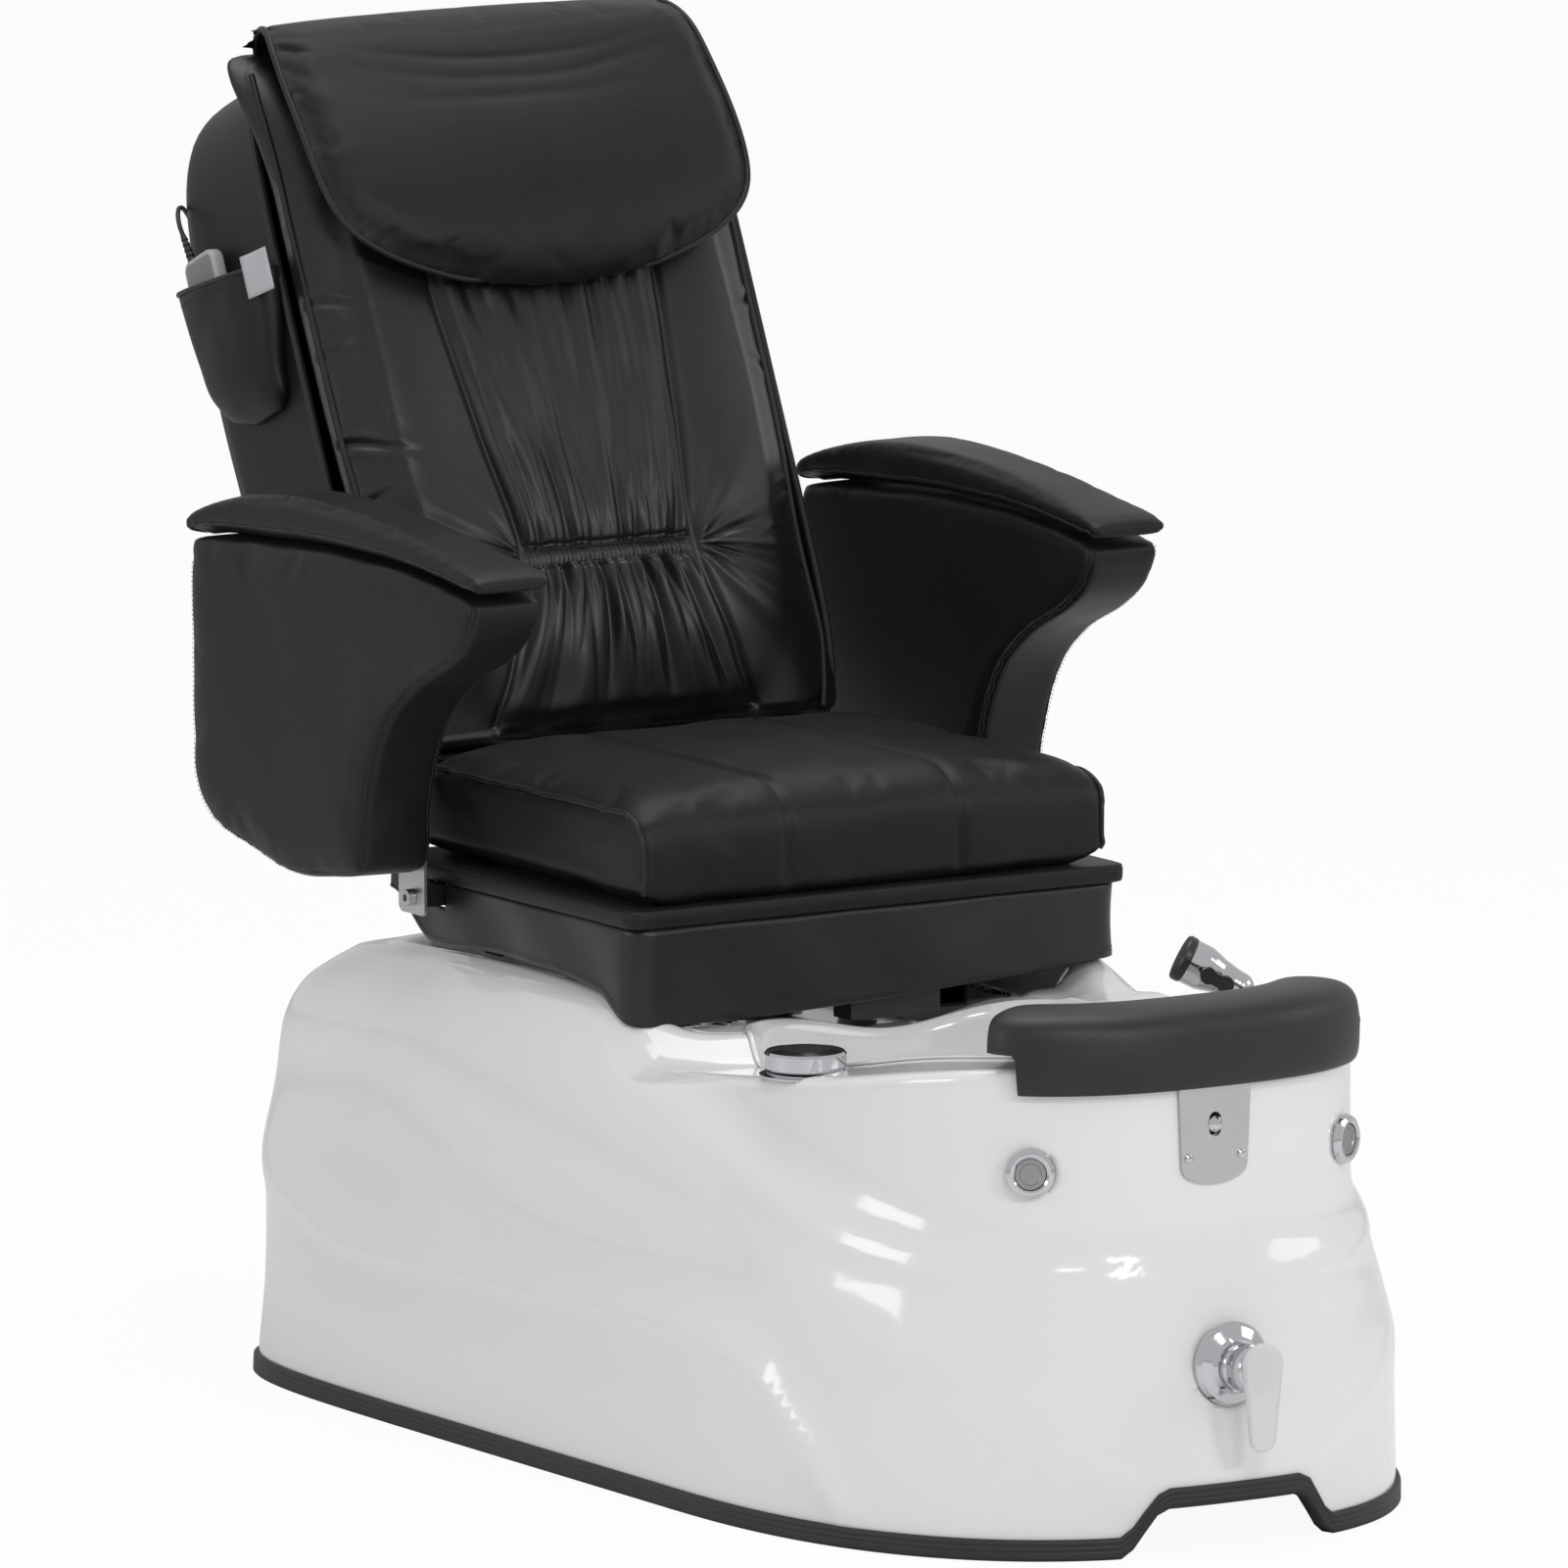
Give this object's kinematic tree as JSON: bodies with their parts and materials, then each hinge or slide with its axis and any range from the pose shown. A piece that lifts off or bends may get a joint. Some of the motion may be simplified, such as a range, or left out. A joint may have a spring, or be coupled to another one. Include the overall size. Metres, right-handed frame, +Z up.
{
  "type": "pedicure spa chair",
  "caption": "Salon pedicure chair: foot bath base with tap, lever and hand shower under a sliding seat with a reclining massage back, head pillow, handset pocket and lifting arms.",
  "frame": {"origin": "on the floor under the centre of the chair's outline", "axes": "+X to the sitter's left, +Y rearwards from the toe of the base to the back, +Z up; the chair faces -Y"},
  "size_m": [0.7816, 1.541, 1.2961],
  "materials": {
    "shell_white": "polished gel coat",
    "leather_black": "soft satin vinyl",
    "trim_black": "matt",
    "plastic_black": "satin",
    "plastic_grey": "satin",
    "chrome": "polished",
    "steel": "satin",
    "steel_black": "powder coat",
    "brass": "plain",
    "board": "vinyl-covered ply",
    "tan": "plain"
  },
  "bodies": {
    "base": {"base_shell": "shell_white", "floor_trim": "trim_black", "foot_basin": "shell_white", "base_frame": "steel_black", "levelling_feet": "trim_black", "drain_strainer": "chrome", "drain_valve": "plastic_grey", "drain_escutcheon": "chrome", "footrest_bracket": "steel", "bracket_fasteners": "chrome", "footrest_pad": "leather_black", "button_bezels": "chrome", "button_bellows": "trim_black", "knob_flange": "chrome", "mixer_valve": "brass", "shower_socket": "chrome", "jet_cover": "plastic_grey", "jet_motor": "plastic_black", "power_box": "plastic_grey", "seat_rails": "steel_black", "slide_actuator": "plastic_black"},
    "drain_lever": {"drain_lever": "chrome"},
    "air_button_left": {"air_button_left": "chrome"},
    "air_button_right": {"air_button_right": "chrome"},
    "rim_knob": {"rim_knob": "chrome"},
    "hand_shower": {"hand_shower": "chrome", "spray_face": "plastic_black"},
    "shower_toggle": {"shower_toggle": "plastic_black"},
    "seat": {"seat_frame": "steel_black", "seat_runners": "steel", "slide_rod": "steel", "rod_clevis": "plastic_black", "seat_board": "board", "seat_cushion": "leather_black", "seat_skirt": "leather_black", "arm_stubs": "steel_black", "arm_pivot_bolts": "steel", "recline_pins": "steel", "recline_actuator": "plastic_black"},
    "recline_rod": {"recline_rod": "steel"},
    "backrest": {"back_frame": "steel_black", "back_shell": "leather_black", "massage_rails": "steel", "back_cushion": "leather_black", "head_flap": "leather_black", "handset_pocket": "leather_black", "pocket_tag": "plastic_grey", "handset": "plastic_grey", "handset_relief": "trim_black", "handset_cord": "trim_black", "cord_gland": "trim_black"},
    "massage_carriage": {"massage_carriage": "plastic_grey"},
    "kneading": {"kneading_shaft": "steel", "kneading_rollers": "tan"},
    "arm_left": {"arm_left": "leather_black", "arm_pad_left": "leather_black", "arm_lug_left": "steel"},
    "arm_right": {"arm_right": "leather_black", "arm_pad_right": "leather_black", "arm_lug_right": "steel"}
  },
  "joints": [
    {"name": "drain_lever_turn", "type": "hinge", "parent": "base", "child": "drain_lever", "pos_m": [0, -0.7131, 0.172], "axis": [0, -1, 0], "range_deg": [0, 90]},
    {"name": "air_button_left_press", "type": "slide", "parent": "base", "child": "air_button_left", "axis": [0.4695, 0.8829, 0], "range_m": [0, 0.003], "stiffness_N_per_m": 600},
    {"name": "air_button_right_press", "type": "slide", "parent": "base", "child": "air_button_right", "axis": [-0.4695, 0.8829, 0], "range_m": [0, 0.003], "stiffness_N_per_m": 600},
    {"name": "rim_knob_turn", "type": "hinge", "parent": "base", "child": "rim_knob", "pos_m": [-0.238, -0.3571, 0.412], "axis": [0, 0, 1], "range_deg": [-90, 90]},
    {"name": "hand_shower_lift", "type": "slide", "parent": "base", "child": "hand_shower", "axis": [0, 0, 1], "range_m": [0, 0.15]},
    {"name": "shower_toggle_swing", "type": "hinge", "parent": "hand_shower", "child": "shower_toggle", "pos_m": [0.19935, -0.38758, 0.46805], "axis": [-0.5, -0.866, 0], "range_deg": [-35, 35]},
    {"name": "seat_slide", "type": "slide", "parent": "base", "child": "seat", "axis": [0, -1, 0], "range_m": [0, 0.1]},
    {"name": "recline", "type": "hinge", "parent": "seat", "child": "backrest", "pos_m": [0, 0.3649, 0.53], "axis": [-1, 0, 0], "range_deg": [0, 32]},
    {"name": "recline_rod_stroke", "type": "slide", "parent": "seat", "child": "recline_rod", "axis": [0, -1, 0], "range_m": [0, 0.0304]},
    {"name": "massage_travel", "type": "slide", "parent": "backrest", "child": "massage_carriage", "axis": [0, 0.4131, 0.9107], "range_m": [0, 0.42]},
    {"name": "kneading_turn", "type": "hinge", "parent": "massage_carriage", "child": "kneading", "pos_m": [0, 0.44444, 0.70451], "axis": [1, 0, 0], "continuous": true},
    {"name": "arm_left_lift", "type": "hinge", "parent": "seat", "child": "arm_left", "pos_m": [-0.301, 0.2349, 0.504], "axis": [-1, 0, 0], "range_deg": [0, 30]},
    {"name": "arm_right_lift", "type": "hinge", "parent": "seat", "child": "arm_right", "pos_m": [0.301, 0.2349, 0.504], "axis": [-1, 0, 0], "range_deg": [0, 30]}
  ],
  "couplings": [
    {"joint": "recline_rod_stroke", "follows": "recline", "m_per_rad": 0.05429}
  ]
}
